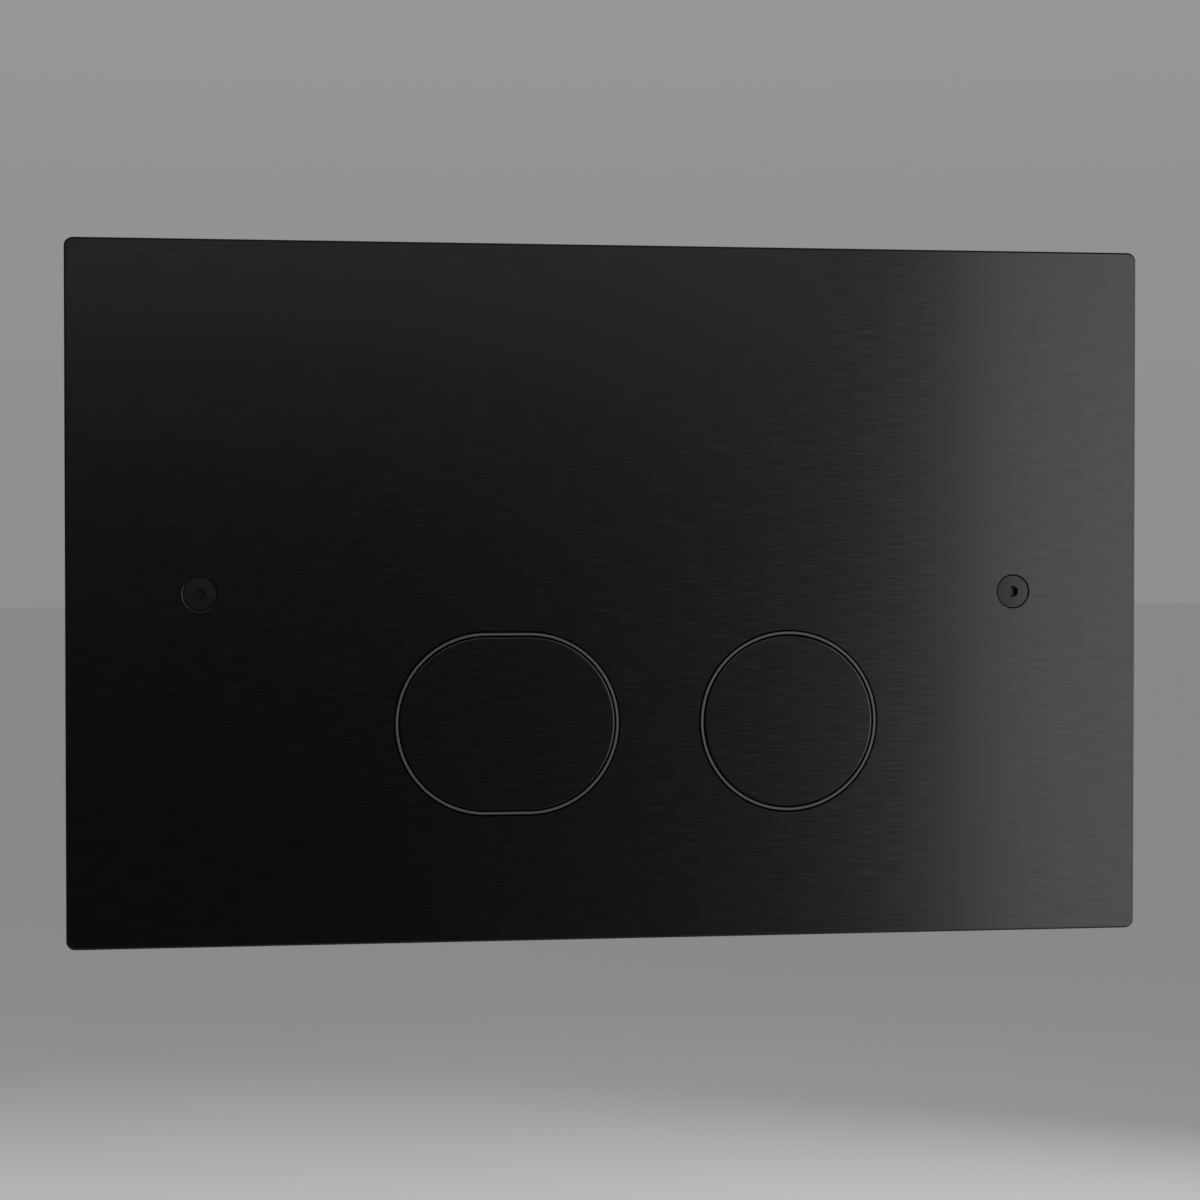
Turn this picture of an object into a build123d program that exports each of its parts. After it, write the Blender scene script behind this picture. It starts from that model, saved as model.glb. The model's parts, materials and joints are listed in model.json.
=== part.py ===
from build123d import *
import os
from math import cos, radians
from typing import NamedTuple

# Flush plate for a concealed cistern, in millimetres. X runs to the right as a user sees the plate,
# Y runs into the wall and Z runs up. The origin is the middle of the plate, in the plane of the
# finished wall (Y = 0), so the face plate stands at negative Y and the works at positive Y.

# Face plate
plate_width = 250.0
plate_height = 160.0
plate_thickness = 4.0
plate_corner_radius = 2.0
plate_edge_chamfer = 0.4

# Foam gasket between the plate's back and the wall
gasket_thickness = 1.5
gasket_inset = 3.0
gasket_width = 10.0

# Button openings: one oblong with straight sides, one round, on one row
button_row_z = -30.0
opening_height = 41.8
full_straight = 10.0
full_center_x = -25.0
half_center_x = 41.0
opening_edge_chamfer = 0.4

# Guide ring that lines each opening, with a collar behind the plate
ring_wall = 0.6
ring_seat_clearance = 0.05
ring_edge_radius = 0.12
ring_collar_width = 3.0
ring_collar_thickness = 2.0
ring_sleeve_wall = 1.6
ring_overrun = 2.0

# Metal buttons, flush with the plate at rest
button_gap = 0.25
button_thickness = 4.0
button_edge_radius = 0.45
button_travel = 6.0

# Moulded carrier behind each button
carrier_inset = 0.6
carrier_thickness = 3.0
carrier_edge_break = 0.5
rod_boss_height = 4.0
rod_boss_spring_gap = 1.35
pin_boss_height = 2.0

# Screws from the carrier into the button
button_screw_diameter = 3.0
button_screw_spacing = 26.0
button_screw_head_diameter = 5.5
button_screw_head_height = 2.0
button_screw_socket = 2.0
button_screw_socket_depth = 1.1
button_screw_bite = 2.6

# Guide pins, bushes, clips and return springs
pin_diameter = 5.0
pin_running_clearance = 0.04
pin_edge_break = 0.5
pin_root = 2.5
pin_tail = 3.0
bush_diameter = 8.0
bush_flange_diameter = 10.6
bush_flange_thickness = 1.5
bush_tail = 0.5
clip_diameter = 10.0
clip_thickness = 0.8
clip_groove_depth = 0.5
clip_clearance = 0.05
clip_mouth = 3.4
clip_relief_diameter = 2.2
spring_wire = 0.9
spring_bore = 8.4
spring_turns = 6.0
spring_seat_clearance = 0.02
spring_edge_margin = 0.7

# Rubber stop pad on the frame, round the rod's hole, which the lock nut meets at full travel
stop_pad_thickness = 1.5
stop_pad_overhang = 0.5
stop_clearance = 0.05

# Push rod, its lock nut and rubber end
rod_diameter = 5.0
rod_root = 2.0
rod_length = 62.0
rod_edge_break = 0.6
rod_pass_clearance = 0.6
lock_nut_flats = 8.0
lock_nut_height = 4.0
rod_cap_diameter = 9.0
rod_cap_grip = 8.0
rod_cap_face = 2.0
rod_cap_edge_radius = 1.5

# Plate screws, countersunk with a hex socket, and the brass inserts that take them
screw_edge_distance = 30.0
screw_z = 0.0
screw_diameter = 4.0
screw_length = 12.0
screw_head_diameter = 7.6
screw_head_land = 0.1
screw_socket = 2.5
screw_socket_depth = 1.8
screw_tip_break = 0.6
countersink_diameter = 8.0
countersink_edge_radius = 0.3
screw_hole_diameter = 4.5
insert_diameter = 5.6
insert_length = 6.0

# Moulded mounting frame
frame_wall = 2.5
frame_corner_radius = 6.0
frame_beyond_screw = 8.0
frame_edge_break = 0.8
collar_margin = 2.5
web_thickness = 3.0
frame_lip = 2.5
arm_half_height = 9.0
skirt_relief = 2.0
post_diameter = 11.0
post_relief_depth = 3.0

# Shouldered studs that hold the frame to the cistern
stud_inboard = 20.0
stud_front_diameter = 5.0
stud_diameter = 6.0
stud_collar_flats = 10.0
stud_collar_length = 6.0
stud_free_length = 46.0
stud_edge_break = 0.8
stud_nut_flats = 8.0
stud_nut_height = 4.0
stud_nut_reveal = 2.0
stud_washer_diameter = 10.0
stud_washer_thickness = 1.0
stud_slot_length = 12.0
stud_slot_clearance = 0.3

# Radial room between a seated piece and its hole, and between a nut and its thread
fit_clearance = 0.05

# Depths along Y, from the face inwards
plate_back_y = -gasket_thickness
plate_front_y = plate_back_y - plate_thickness
button_back_y = plate_front_y + button_thickness
carrier_back_y = button_back_y + carrier_thickness
rod_boss_end_y = carrier_back_y + rod_boss_height
pin_boss_end_y = carrier_back_y + pin_boss_height
ring_end_y = button_back_y + button_travel + ring_overrun
lock_nut_end_y = rod_boss_end_y + lock_nut_height
web_front_y = lock_nut_end_y + button_travel + stop_clearance + stop_pad_thickness
web_back_y = web_front_y + web_thickness
frame_back_y = web_back_y + frame_lip
bush_front_y = web_front_y - bush_flange_thickness
bush_end_y = frame_back_y + bush_tail
clip_front_y = bush_end_y + clip_clearance
clip_back_y = clip_front_y + clip_thickness
pin_end_y = clip_back_y + pin_tail
rod_start_y = carrier_back_y - rod_root
rod_end_y = rod_start_y + rod_length
skirt_front_y = plate_back_y + skirt_relief

# Places across the plate
screw_x = plate_width / 2 - screw_edge_distance
stud_x = screw_x - stud_inboard
pair = (-1, 1)
button_inset = ring_seat_clearance + ring_wall + button_gap
bore_inset = ring_seat_clearance + ring_wall
spring_radius = spring_bore / 2 + spring_wire / 2
spring_outer_radius = spring_bore / 2 + spring_wire
rod_hole_radius = rod_diameter / 2 + rod_pass_clearance
lock_nut_corner = lock_nut_flats / 2 / cos(radians(30))
collar_half_height = opening_height / 2 + ring_collar_width
frame_half_width = screw_x + frame_beyond_screw
frame_half_height = abs(button_row_z) + collar_half_height + collar_margin + frame_wall


class Button(NamedTuple):
    """Where a button stands: its name, its centre along X and the straight length of its sides."""

    name: str
    x: float
    straight: float

    @property
    def half_length(self):
        """Half the length of the plate's opening for this button."""
        return (opening_height + self.straight) / 2

    @property
    def pin_reach(self):
        """How far each guide pin stands from the button's centre, so that its spring fits the carrier."""
        return self.half_length - button_inset - carrier_inset - spring_outer_radius - spring_edge_margin

    @property
    def pin_xs(self):
        """Where the button's two guide pins stand along X."""
        return [self.x + side * self.pin_reach for side in pair]


full_flush = Button("full_flush", full_center_x, full_straight)
half_flush = Button("half_flush", half_center_x, 0.0)
buttons = (full_flush, half_flush)

# The boss for the push rod is the same on both carriers, and clears the springs of the smaller one
rod_boss_radius = half_flush.pin_reach - spring_outer_radius - rod_boss_spring_gap


def depth_plane(y):
    """Plane parallel to the wall at depth y, seen from the front; extruding runs towards the front."""
    return Plane.XZ.offset(-y)


def facing_plane(x, y, z):
    """Plane at a point, facing the front, from which a hole is drilled into the wall's direction."""
    return Plane((x, y, z), x_dir=(1, 0, 0), z_dir=(0, -1, 0))


def outline(button, inset, mode=Mode.ADD):
    """Draw the button's opening into the current sketch, shrunk all round by inset."""
    height = opening_height - 2 * inset
    with Locations((button.x, button_row_z)):
        if button.straight > 0:
            SlotOverall(height + button.straight, height, mode=mode)
        else:
            Circle(height / 2, mode=mode)


def turn(profile, x, z, mode=Mode.ADD):
    """Turn a closed profile of (radius, depth) points about the line through (x, z) along Y."""
    with BuildSketch(Plane((x, 0, z))) as section:
        with BuildLine():
            Polyline(*profile, close=True)
        make_face()
    revolve(section.sketch, axis=Axis((x, 0, z), (0, 1, 0)), mode=mode)


def hexagon(x, y_back, z, flats, length, mode=Mode.ADD):
    """Extrude a hexagon with a corner on top from y_back towards the front."""
    with BuildSketch(depth_plane(y_back)) as flats_outline:
        with Locations((x, z)):
            RegularPolygon(flats / 2, 6, major_radius=False, rotation=30)
    extrude(flats_outline.sketch, amount=length, mode=mode)


def hex_nut(x, y_front, z, flats, height, bore_diameter):
    """Build a hex nut whose corners are turned off at both ends, with a plain bore."""
    corner = flats / 2 / cos(radians(30))
    lead = corner - flats / 2
    y_back = y_front + height
    hexagon(x, y_back, z, flats, height)
    blank = [
        (0, y_front),
        (flats / 2, y_front),
        (corner, y_front + lead / 2),
        (corner, y_back - lead / 2),
        (flats / 2, y_back),
        (0, y_back),
    ]
    turn(blank, x, z, mode=Mode.INTERSECT)
    with Locations(facing_plane(x, y_front, z)):
        Hole(bore_diameter / 2, depth=height)


def washer_profile(inner_radius, outer_radius, y_front, y_back):
    """Closed profile of a plain ring, for turning."""
    return [(inner_radius, y_front), (outer_radius, y_front), (outer_radius, y_back), (inner_radius, y_back)]


def finish(part, name):
    """Label a finished piece and write it under its own name."""
    part.label = name
    export_step(part, f"parts/{name}.step")


os.makedirs("parts", exist_ok=True)

# Face plate: flat sheet with two openings and two countersunk holes
with BuildPart() as front_plate:
    with BuildSketch(depth_plane(plate_back_y)):
        RectangleRounded(plate_width, plate_height, plate_corner_radius)
        for button in buttons:
            outline(button, 0, mode=Mode.SUBTRACT)
    extrude(amount=plate_thickness)
    face = front_plate.faces().sort_by(Axis.Y)[0]
    chamfer(face.outer_wire().edges(), plate_edge_chamfer)
    face = front_plate.faces().sort_by(Axis.Y)[0]
    chamfer([edge for wire in face.inner_wires() for edge in wire.edges()], opening_edge_chamfer)
    with Locations(*[facing_plane(side * screw_x, plate_front_y, screw_z) for side in pair]):
        CounterSinkHole(screw_hole_diameter / 2, countersink_diameter / 2, counter_sink_angle=90)
    # The rims of the countersinks are the small full circles on the face
    face = front_plate.faces().sort_by(Axis.Y)[0]
    circles = face.edges().filter_by(lambda edge: edge.geom_type == GeomType.CIRCLE and edge.is_closed)
    fillet(circles.filter_by(lambda edge: edge.radius < countersink_diameter), countersink_edge_radius)
finish(front_plate.part, "front_plate")

# Foam gasket: a flat strip round the plate's back that the wall presses on
with BuildPart() as wall_gasket:
    gasket_length = plate_width - 2 * gasket_inset
    gasket_height = plate_height - 2 * gasket_inset
    with BuildSketch(depth_plane(0)):
        RectangleRounded(gasket_length, gasket_height, plate_corner_radius)
        Rectangle(gasket_length - 2 * gasket_width, gasket_height - 2 * gasket_width, mode=Mode.SUBTRACT)
    extrude(amount=gasket_thickness)
finish(wall_gasket.part, "wall_gasket")

# Plate screws: countersunk heads sit a little below the face, on the countersinks' cones
with BuildPart() as plate_screws:
    cone_y = plate_front_y + (countersink_diameter - screw_head_diameter) / 2 - fit_clearance
    head_y = cone_y - screw_head_land
    shank_y = cone_y + (screw_head_diameter - screw_diameter) / 2
    tip_y = head_y + screw_length
    screw_profile = [
        (0, head_y),
        (screw_head_diameter / 2 - screw_head_land, head_y),
        (screw_head_diameter / 2, cone_y),
        (screw_diameter / 2, shank_y),
        (screw_diameter / 2, tip_y - screw_tip_break),
        (screw_diameter / 2 - screw_tip_break, tip_y),
        (0, tip_y),
    ]
    for side in pair:
        turn(screw_profile, side * screw_x, screw_z)
        socket_y = head_y + screw_socket_depth
        hexagon(side * screw_x, socket_y, screw_z, screw_socket, screw_socket_depth, mode=Mode.SUBTRACT)
finish(plate_screws.part, "plate_screws")

# Brass inserts in the frame's posts, against the plate's back
with BuildPart() as frame_inserts:
    bore_radius = screw_diameter / 2 + fit_clearance
    insert_profile = washer_profile(
        bore_radius, insert_diameter / 2, plate_back_y, plate_back_y + insert_length
    )
    for side in pair:
        turn(insert_profile, side * screw_x, screw_z)
finish(frame_inserts.part, "frame_inserts")

# Mounting frame: a moulded web with three windows, a rim round it and skirts round the windows. The arm
# between the windows carries the studs and the plate screws, and the bridge below it carries the buttons.
with BuildPart() as mounting_frame:
    inner_x = frame_half_width - frame_wall
    inner_z = frame_half_height - frame_wall
    window_radius = frame_corner_radius - frame_wall
    collar_reach = ring_collar_width + collar_margin + frame_wall
    bridge_left = full_flush.x - full_flush.half_length - collar_reach
    bridge_right = half_flush.x + half_flush.half_length + collar_reach
    arm_top = screw_z + arm_half_height + frame_wall
    arm_bottom = screw_z - arm_half_height - frame_wall
    windows = [
        (-inner_x, inner_x, arm_top, inner_z),
        (-inner_x, bridge_left, -inner_z, arm_bottom),
        (bridge_right, inner_x, -inner_z, arm_bottom),
    ]
    # Web over the whole frame, then the rim
    with BuildSketch(depth_plane(web_back_y)):
        RectangleRounded(2 * frame_half_width, 2 * frame_half_height, frame_corner_radius)
    extrude(amount=web_thickness)
    with BuildSketch(depth_plane(frame_back_y)):
        RectangleRounded(2 * frame_half_width, 2 * frame_half_height, frame_corner_radius)
        RectangleRounded(2 * inner_x, 2 * inner_z, window_radius, mode=Mode.SUBTRACT)
    extrude(amount=frame_back_y - plate_back_y)
    # Skirts, each cut through by its window
    for left, right, bottom, top in windows:
        middle = ((left + right) / 2, (bottom + top) / 2)
        with BuildSketch(depth_plane(frame_back_y)):
            with Locations(middle):
                RectangleRounded(
                    right - left + 2 * frame_wall, top - bottom + 2 * frame_wall, frame_corner_radius
                )
        extrude(amount=frame_back_y - skirt_front_y)
    for left, right, bottom, top in windows:
        middle = ((left + right) / 2, (bottom + top) / 2)
        with BuildSketch(depth_plane(frame_back_y)):
            with Locations(middle):
                RectangleRounded(right - left, top - bottom, window_radius)
        extrude(amount=frame_back_y - plate_back_y, mode=Mode.SUBTRACT)
    chamfer(mounting_frame.faces().sort_by(Axis.Y)[-1].outer_wire().edges(), frame_edge_break)
    # Rib between the two buttons, from the rim up to the skirt above
    rib_x = (full_flush.x + full_flush.half_length + half_flush.x - half_flush.half_length) / 2
    with BuildSketch(depth_plane(frame_back_y)):
        with Locations((rib_x, (arm_top - frame_half_height) / 2)):
            Rectangle(frame_wall, arm_top + frame_half_height - frame_wall)
    extrude(amount=frame_back_y - skirt_front_y)
    # Raised rings behind the web round the rod holes and the bushes
    with BuildSketch(depth_plane(frame_back_y)):
        with Locations(*[(button.x, button_row_z) for button in buttons]):
            Circle(rod_hole_radius + frame_wall)
        with Locations(*[(x, button_row_z) for button in buttons for x in button.pin_xs]):
            Circle(bush_diameter / 2 + frame_wall)
    extrude(amount=frame_lip)
    # Posts for the plate screws, each tied to the rim by a rib
    with BuildSketch(depth_plane(web_back_y)):
        for side in pair:
            with Locations((side * screw_x, screw_z)):
                Circle(post_diameter / 2)
            with Locations((side * (screw_x + frame_half_width) / 2, screw_z)):
                Rectangle(frame_half_width - screw_x, frame_wall)
    extrude(amount=web_back_y - plate_back_y)
    # Pockets for the inserts, holes for the rods and the bushes, slots for the studs
    with Locations(*[facing_plane(side * screw_x, plate_back_y, screw_z) for side in pair]):
        CounterBoreHole(
            screw_hole_diameter / 2,
            insert_diameter / 2 + fit_clearance,
            insert_length,
            depth=insert_length + post_relief_depth,
        )
    with Locations(*[facing_plane(button.x, web_front_y, button_row_z) for button in buttons]):
        Hole(rod_hole_radius, depth=web_thickness + frame_lip)
    with Locations(*[facing_plane(x, web_front_y, button_row_z) for b in buttons for x in b.pin_xs]):
        Hole(bush_diameter / 2 + fit_clearance, depth=web_thickness + frame_lip)
    with BuildSketch(depth_plane(web_back_y)):
        with Locations(*[(side * stud_x, screw_z) for side in pair]):
            SlotOverall(stud_slot_length, stud_front_diameter + 2 * stud_slot_clearance)
    extrude(amount=web_thickness, mode=Mode.SUBTRACT)
finish(mounting_frame.part, "mounting_frame")

# Fixing studs: a short end through the frame's slot, a hex shoulder behind it and a long free end
with BuildPart() as fixing_studs:
    washer_front_y = web_front_y - stud_washer_thickness
    stud_nut_front_y = washer_front_y - stud_nut_height
    stud_front_y = stud_nut_front_y - stud_nut_reveal
    shoulder_end_y = web_back_y + stud_collar_length
    stud_end_y = shoulder_end_y + stud_free_length
    stud_front_radius = stud_front_diameter / 2
    stud_radius = stud_diameter / 2
    stud_profile = [
        (0, stud_front_y),
        (stud_front_radius - stud_edge_break, stud_front_y),
        (stud_front_radius, stud_front_y + stud_edge_break),
        (stud_front_radius, web_back_y),
        (stud_radius, web_back_y),
        (stud_radius, stud_end_y - stud_edge_break),
        (stud_radius - stud_edge_break, stud_end_y),
        (0, stud_end_y),
    ]
    for side in pair:
        turn(stud_profile, side * stud_x, screw_z)
        hexagon(side * stud_x, shoulder_end_y, screw_z, stud_collar_flats, stud_collar_length)
finish(fixing_studs.part, "fixing_studs")

with BuildPart() as fixing_washers:
    washer = washer_profile(
        stud_front_radius + stud_slot_clearance, stud_washer_diameter / 2, washer_front_y, web_front_y
    )
    for side in pair:
        turn(washer, side * stud_x, screw_z)
finish(fixing_washers.part, "fixing_washers")

# Each nut is built by itself, because its corners are turned off by an intersection
stud_nuts = []
for side in pair:
    with BuildPart() as stud_nut:
        nut_bore = stud_front_diameter + 2 * fit_clearance
        hex_nut(side * stud_x, stud_nut_front_y, screw_z, stud_nut_flats, stud_nut_height, nut_bore)
    stud_nuts.append(stud_nut.part)
with BuildPart() as fixing_nuts:
    add(stud_nuts)
finish(fixing_nuts.part, "fixing_nuts")

for button in buttons:
    # Metal button with two blind holes for the carrier's screws
    with BuildPart() as cap:
        with BuildSketch(depth_plane(button_back_y)):
            outline(button, button_inset)
        extrude(amount=button_thickness)
        fillet(cap.faces().sort_by(Axis.Y)[0].outer_wire().edges(), button_edge_radius)
        hole_radius = button_screw_diameter / 2 + fit_clearance
        blind = [
            (0, button_back_y - button_screw_bite - fit_clearance),
            (hole_radius, button_back_y - button_screw_bite - fit_clearance),
            (hole_radius, button_back_y),
            (0, button_back_y),
        ]
        for side in pair:
            turn(blind, button.x, button_row_z + side * button_screw_spacing / 2, mode=Mode.SUBTRACT)
    finish(cap.part, f"{button.name}_button")

    # Guide ring: thin liner in the opening, collar against the plate's back, sleeve behind
    with BuildPart() as guide_ring:
        with BuildSketch(depth_plane(plate_back_y)):
            outline(button, ring_seat_clearance)
        extrude(amount=plate_thickness)
        with BuildSketch(depth_plane(plate_back_y + ring_collar_thickness)):
            outline(button, -ring_collar_width)
        extrude(amount=ring_collar_thickness)
        with BuildSketch(depth_plane(ring_end_y)):
            outline(button, bore_inset - ring_sleeve_wall)
        extrude(amount=ring_end_y - plate_back_y)
        with BuildSketch(depth_plane(ring_end_y)):
            outline(button, bore_inset)
        extrude(amount=ring_end_y - plate_front_y, mode=Mode.SUBTRACT)
        fillet(guide_ring.faces().sort_by(Axis.Y)[0].edges(), ring_edge_radius)
    finish(guide_ring.part, f"{button.name}_guide_ring")

    # Carrier: moulded plate with a boss for the push rod and a collar for each guide pin
    with BuildPart() as carrier:
        with BuildSketch(depth_plane(carrier_back_y)):
            outline(button, button_inset + carrier_inset)
        extrude(amount=carrier_thickness)
        chamfer(carrier.faces().sort_by(Axis.Y)[-1].edges(), carrier_edge_break)
        with BuildSketch(depth_plane(rod_boss_end_y)):
            with Locations((button.x, button_row_z)):
                Circle(rod_boss_radius)
        extrude(amount=rod_boss_height)
        with BuildSketch(depth_plane(pin_boss_end_y)):
            with Locations(*[(x, button_row_z) for x in button.pin_xs]):
                Circle(spring_bore / 2 - fit_clearance)
        extrude(amount=pin_boss_height)
        with BuildSketch(depth_plane(rod_boss_end_y)):
            with Locations((button.x, button_row_z)):
                Circle(rod_diameter / 2 + fit_clearance)
        extrude(amount=rod_boss_height + rod_root, mode=Mode.SUBTRACT)
        with BuildSketch(depth_plane(pin_boss_end_y)):
            with Locations(*[(x, button_row_z) for x in button.pin_xs]):
                Circle(pin_diameter / 2 + fit_clearance)
        extrude(amount=pin_boss_height + pin_root, mode=Mode.SUBTRACT)
        with BuildSketch(depth_plane(carrier_back_y)):
            with Locations(*[(button.x, button_row_z + side * button_screw_spacing / 2) for side in pair]):
                Circle(button_screw_diameter / 2 + fit_clearance)
        extrude(amount=carrier_thickness, mode=Mode.SUBTRACT)
    finish(carrier.part, f"{button.name}_carrier")

    # Screws from the carrier's back into the button
    with BuildPart() as button_screws:
        head_back_y = carrier_back_y + button_screw_head_height
        bite_y = button_back_y - button_screw_bite
        small_screw_profile = [
            (0, bite_y),
            (button_screw_diameter / 2, bite_y),
            (button_screw_diameter / 2, carrier_back_y),
            (button_screw_head_diameter / 2, carrier_back_y),
            (button_screw_head_diameter / 2, head_back_y - button_screw_head_height / 4),
            (button_screw_head_diameter / 2 - button_screw_head_height / 4, head_back_y),
            (0, head_back_y),
        ]
        for side in pair:
            small_screw_z = button_row_z + side * button_screw_spacing / 2
            turn(small_screw_profile, button.x, small_screw_z)
            hexagon(
                button.x,
                head_back_y,
                small_screw_z,
                button_screw_socket,
                button_screw_socket_depth,
                mode=Mode.SUBTRACT,
            )
    finish(button_screws.part, f"{button.name}_button_screws")

    # Guide pins with a groove for the clip near the end
    with BuildPart() as guide_pins:
        pin_radius = pin_diameter / 2
        groove_radius = pin_radius - clip_groove_depth
        pin_profile = [
            (0, carrier_back_y - pin_root),
            (pin_radius, carrier_back_y - pin_root),
            (pin_radius, clip_front_y - clip_clearance),
            (groove_radius, clip_front_y - clip_clearance),
            (groove_radius, clip_back_y + clip_clearance),
            (pin_radius, clip_back_y + clip_clearance),
            (pin_radius, pin_end_y - pin_edge_break),
            (pin_radius - pin_edge_break, pin_end_y),
            (0, pin_end_y),
        ]
        for x in button.pin_xs:
            turn(pin_profile, x, button_row_z)
    finish(guide_pins.part, f"{button.name}_guide_pins")

    # Flanged bushes in the frame's web
    with BuildPart() as guide_bushes:
        bush_bore = pin_diameter / 2 + pin_running_clearance
        bush_profile = [
            (bush_bore, bush_front_y),
            (bush_flange_diameter / 2, bush_front_y),
            (bush_flange_diameter / 2, web_front_y),
            (bush_diameter / 2, web_front_y),
            (bush_diameter / 2, bush_end_y),
            (bush_bore, bush_end_y),
        ]
        for x in button.pin_xs:
            turn(bush_profile, x, button_row_z)
    finish(guide_bushes.part, f"{button.name}_guide_bushes")

    # E-clips: a sprung washer with an open mouth and two reliefs
    with BuildPart() as pin_clips:
        grip_radius = groove_radius + fit_clearance
        with BuildSketch(depth_plane(clip_back_y)):
            with Locations(*[(x, button_row_z) for x in button.pin_xs]):
                Circle(clip_diameter / 2)
                Circle(grip_radius, mode=Mode.SUBTRACT)
            with Locations(*[(x, button_row_z - clip_diameter / 4) for x in button.pin_xs]):
                Rectangle(clip_mouth, clip_diameter / 2, mode=Mode.SUBTRACT)
            with Locations(*[(x + side * grip_radius, button_row_z) for x in button.pin_xs for side in pair]):
                Circle(clip_relief_diameter / 2, mode=Mode.SUBTRACT)
        extrude(amount=clip_thickness)
    finish(pin_clips.part, f"{button.name}_pin_clips")

    # Return springs: round wire coils with ends ground flat, from the carrier to the bush flange
    with BuildPart() as return_springs:
        spring_start_y = carrier_back_y + spring_seat_clearance
        spring_end_y = bush_front_y - spring_seat_clearance
        spring_length = spring_end_y - spring_start_y
        for x in button.pin_xs:
            with BuildLine() as coil:
                Helix(
                    spring_length / spring_turns,
                    spring_length,
                    spring_radius,
                    center=(x, spring_start_y, button_row_z),
                    direction=(0, 1, 0),
                )
            with BuildSketch(Plane(coil.line @ 0, z_dir=coil.line % 0)):
                Circle(spring_wire / 2)
            sweep()
        with BuildSketch(depth_plane(spring_end_y)):
            with Locations((button.x, button_row_z)):
                Rectangle(2 * button.half_length, opening_height)
        extrude(amount=spring_length, mode=Mode.INTERSECT)
    finish(return_springs.part, f"{button.name}_return_springs")

    # Rubber pad that the lock nut meets at full travel
    with BuildPart() as stop_pad:
        pad_radius = lock_nut_corner + stop_pad_overhang
        pad_profile = washer_profile(
            rod_hole_radius, pad_radius, web_front_y - stop_pad_thickness, web_front_y
        )
        turn(pad_profile, button.x, button_row_z)
    finish(stop_pad.part, f"{button.name}_stop_pad")

    # Push rod, screwed into the carrier's boss
    with BuildPart() as push_rod:
        rod_radius = rod_diameter / 2
        rod_profile = [
            (0, rod_start_y),
            (rod_radius - rod_edge_break, rod_start_y),
            (rod_radius, rod_start_y + rod_edge_break),
            (rod_radius, rod_end_y - rod_edge_break),
            (rod_radius - rod_edge_break, rod_end_y),
            (0, rod_end_y),
        ]
        turn(rod_profile, button.x, button_row_z)
    finish(push_rod.part, f"{button.name}_push_rod")

    with BuildPart() as lock_nut:
        lock_nut_bore = rod_diameter + 2 * fit_clearance
        hex_nut(button.x, rod_boss_end_y, button_row_z, lock_nut_flats, lock_nut_height, lock_nut_bore)
    finish(lock_nut.part, f"{button.name}_lock_nut")

    # Rubber cap over the rod's end
    with BuildPart() as rod_cap:
        cap_radius = rod_cap_diameter / 2
        cap_end_y = rod_end_y + rod_cap_face
        grip_bore = rod_radius + fit_clearance
        cap_profile = [
            (0, rod_end_y),
            (grip_bore, rod_end_y),
            (grip_bore, rod_end_y - rod_cap_grip),
            (cap_radius, rod_end_y - rod_cap_grip),
            (cap_radius, cap_end_y),
            (0, cap_end_y),
        ]
        turn(cap_profile, button.x, button_row_z)
        fillet(rod_cap.faces().sort_by(Axis.Y)[-1].edges(), rod_cap_edge_radius)
    finish(rod_cap.part, f"{button.name}_rod_cap")
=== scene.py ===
"""Dress a flush plate in its real finishes, and light and view it as a product picture does.

Lengths are in metres, in the frame of the solids: +X to the right as a user sees the plate, +Y into
the wall, +Z up. The plate's back lies just in front of the wall's plane, Y = 0.
"""

import json
import logging
import math
from dataclasses import dataclass
from enum import Enum

import bmesh
import bpy
import numpy as np
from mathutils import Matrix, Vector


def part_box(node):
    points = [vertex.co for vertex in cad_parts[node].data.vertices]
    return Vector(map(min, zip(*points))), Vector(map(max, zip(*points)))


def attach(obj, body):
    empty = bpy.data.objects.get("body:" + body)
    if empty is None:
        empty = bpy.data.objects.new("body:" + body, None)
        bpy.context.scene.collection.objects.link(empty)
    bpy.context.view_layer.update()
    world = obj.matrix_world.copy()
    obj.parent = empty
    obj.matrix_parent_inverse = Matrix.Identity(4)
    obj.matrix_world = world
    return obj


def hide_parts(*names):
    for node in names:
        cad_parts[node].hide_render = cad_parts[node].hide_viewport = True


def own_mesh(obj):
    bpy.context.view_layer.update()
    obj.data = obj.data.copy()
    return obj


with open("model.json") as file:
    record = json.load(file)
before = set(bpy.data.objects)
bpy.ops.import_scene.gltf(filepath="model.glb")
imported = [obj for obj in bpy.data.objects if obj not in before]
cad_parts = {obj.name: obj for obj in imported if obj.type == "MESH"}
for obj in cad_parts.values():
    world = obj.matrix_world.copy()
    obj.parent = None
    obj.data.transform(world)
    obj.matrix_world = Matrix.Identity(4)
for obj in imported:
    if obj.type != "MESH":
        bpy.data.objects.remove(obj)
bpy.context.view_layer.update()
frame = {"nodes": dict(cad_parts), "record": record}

MM = 0.001
MICRON = 1e-6
FULL_TURN = 2 * math.pi
# Points nearer to each other than this are one point
SAME_POINT = 1e-7
# Noise keeps mostly to this part of zero to one
NOISE_SPAN = (0.25, 0.75)

log = logging.getLogger("flush_plate")
logging.basicConfig(level=logging.INFO, format="%(name)s: %(message)s")

Link = tuple[bpy.types.Node, str]
SLOT_OF: dict[str, str] = {part["node"]: part["material_slot"] for part in frame["record"]["subparts"]}


class Body(Enum):
    """The bodies that pieces ride on."""

    PLATE = "plate_unit"
    FULL = "full_flush_unit"
    HALF = "half_flush_unit"


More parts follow.
